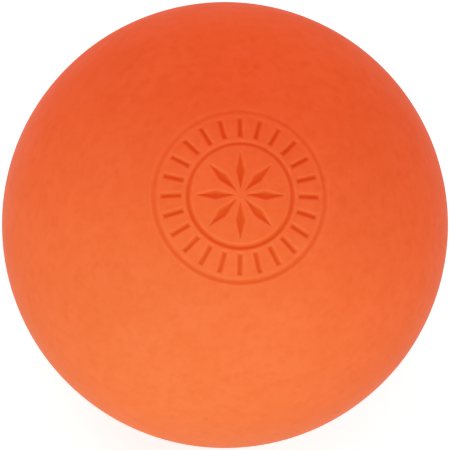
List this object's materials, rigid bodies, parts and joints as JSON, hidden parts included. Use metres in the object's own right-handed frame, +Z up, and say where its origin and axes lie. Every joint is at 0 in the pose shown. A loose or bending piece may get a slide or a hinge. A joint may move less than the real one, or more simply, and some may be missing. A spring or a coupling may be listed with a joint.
{
  "type": "lacrosse ball",
  "caption": "Solid moulded rubber lacrosse ball in orange, with a recessed roundel of plain rings, radial bars and a star of rays; thrown, caught, bounced and rolled.",
  "frame": {"origin": "centre of the ball", "axes": "+Z up, -Y the front, +X to the right seen from the front; the roundel's axis lies in the YZ plane and leans 27 degrees from +Z towards the front"},
  "size_m": [0.0634, 0.0634, 0.0634],
  "materials": {
    "orange_rubber": "matte, as moulded, pigmented right through"
  },
  "bodies": {
    "root": {"rubber_ball": "orange_rubber"}
  },
  "joints": []
}
